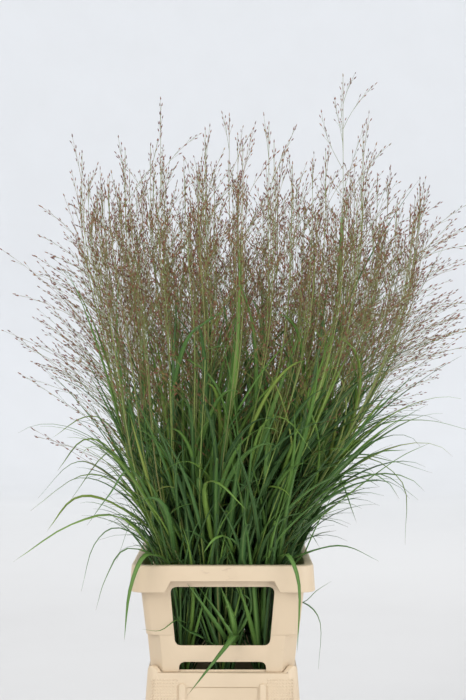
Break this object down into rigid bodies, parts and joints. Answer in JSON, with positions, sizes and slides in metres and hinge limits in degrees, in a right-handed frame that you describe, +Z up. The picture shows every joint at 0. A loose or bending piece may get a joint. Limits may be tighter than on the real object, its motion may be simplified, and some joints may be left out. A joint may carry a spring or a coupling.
{
  "type": "cut switchgrass in a collared water bucket",
  "caption": "Tied bunches of flowering switchgrass fan out of a rectangular water bucket through a windowed stacking collar.",
  "frame": {"origin": "centre of the bucket's flat underside, where it stands on the floor", "axes": "+Z up, -Y towards the front (the narrow side that the picture shows), +X to the right seen from the front"},
  "size_m": [0.8217, 0.8387, 1.296],
  "materials": {
    "cream_plastic": "satin",
    "clear_water": "gloss",
    "grass": "satin",
    "elastic": "matte"
  },
  "bodies": {
    "root": {"bucket": "cream_plastic", "collar": "cream_plastic", "water": "clear_water", "bunch_1_1": "grass", "bunch_1_2": "grass", "bunch_1_3": "grass", "bunch_1_4": "grass", "bunch_2_1": "grass", "bunch_2_2": "grass", "bunch_2_3": "grass", "bunch_2_4": "grass", "bunch_3_1": "grass", "bunch_3_2": "grass", "bunch_3_3": "grass", "bunch_3_4": "grass", "tie_1_1": "elastic", "tie_1_2": "elastic", "tie_1_3": "elastic", "tie_1_4": "elastic", "tie_2_1": "elastic", "tie_2_2": "elastic", "tie_2_3": "elastic", "tie_2_4": "elastic", "tie_3_1": "elastic", "tie_3_2": "elastic", "tie_3_3": "elastic", "tie_3_4": "elastic"}
  },
  "joints": []
}
